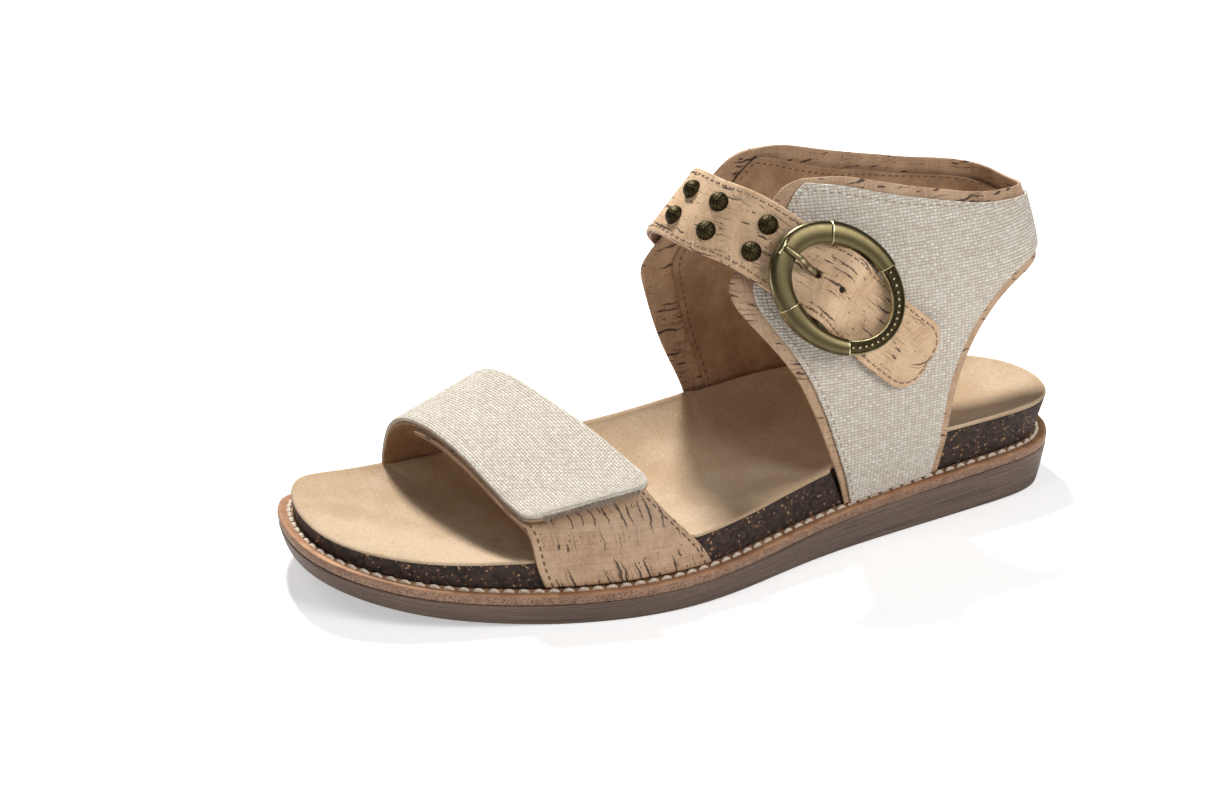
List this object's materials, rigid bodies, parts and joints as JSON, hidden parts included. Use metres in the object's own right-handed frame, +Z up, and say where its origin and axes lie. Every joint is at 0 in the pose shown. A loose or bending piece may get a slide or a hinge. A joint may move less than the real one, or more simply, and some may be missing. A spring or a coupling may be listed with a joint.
{
  "type": "cork footbed sandal",
  "caption": "Open-toe left sandal with a dished cork footbed, crossed forefoot straps, a high ankle cuff and a buckled, studded instep strap.",
  "frame": {"origin": "middle of the outline's length and width on the floor under the sandal", "axes": "+X to the outer side of the foot, +Y to the heel, -Y to the toe, +Z up"},
  "size_m": [0.099, 0.262, 0.1189],
  "materials": {
    "sole_rubber": "matt taupe rubber with fine side lines",
    "welt_leather": "rough cut edge, waxed top, stitched",
    "cork_footbed": "dark pressed cork granules",
    "suede_cover": "napped tan suede",
    "cork_fabric": "cork veneer on cloth, natural cracks",
    "linen": "undyed basket-weave linen",
    "antique_brass": "darkened, rubbed bright on the edges"
  },
  "bodies": {
    "root": {"outsole": "sole_rubber", "welt": "welt_leather", "footbed": "cork_footbed", "insole_cover": "suede_cover", "forefoot_strap_under": "cork_fabric", "forefoot_strap_over": "linen", "ankle_cuff": "cork_fabric", "cuff_linen_panel": "linen", "instep_strap": "cork_fabric", "buckle_ring": "antique_brass", "buckle_prong": "antique_brass", "strap_stud_1": "antique_brass", "strap_stud_2": "antique_brass", "strap_stud_3": "antique_brass", "strap_stud_4": "antique_brass", "strap_stud_5": "antique_brass", "strap_stud_6": "antique_brass"}
  },
  "joints": []
}
